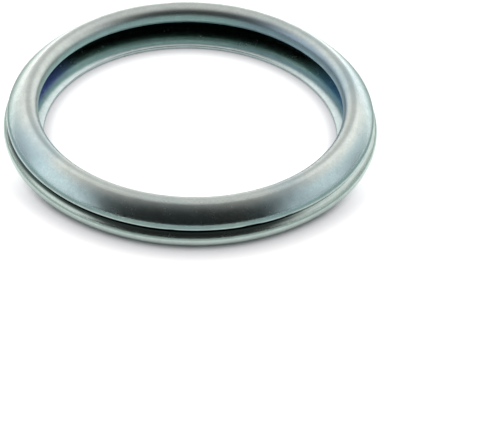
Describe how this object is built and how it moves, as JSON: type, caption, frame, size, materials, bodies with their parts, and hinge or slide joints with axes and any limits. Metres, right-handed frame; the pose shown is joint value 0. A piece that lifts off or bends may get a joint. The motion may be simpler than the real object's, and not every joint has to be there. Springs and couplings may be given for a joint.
{
  "type": "folded steel crush washer",
  "caption": "Hollow sealing ring folded from one strip of zinc-plated sheet steel, with a flat flange, round bead and domed, curled-down flank.",
  "frame": {"origin": "centre of the bore on the flat underside of the flange", "axes": "+Z along the ring's axis, from the flat underside to the domed crown"},
  "size_m": [0.026, 0.026, 0.0031],
  "materials": {
    "crush_washer": "bright zinc plating with a thin blue passivation"
  },
  "bodies": {
    "root": {"crush_washer": "crush_washer"}
  },
  "joints": []
}
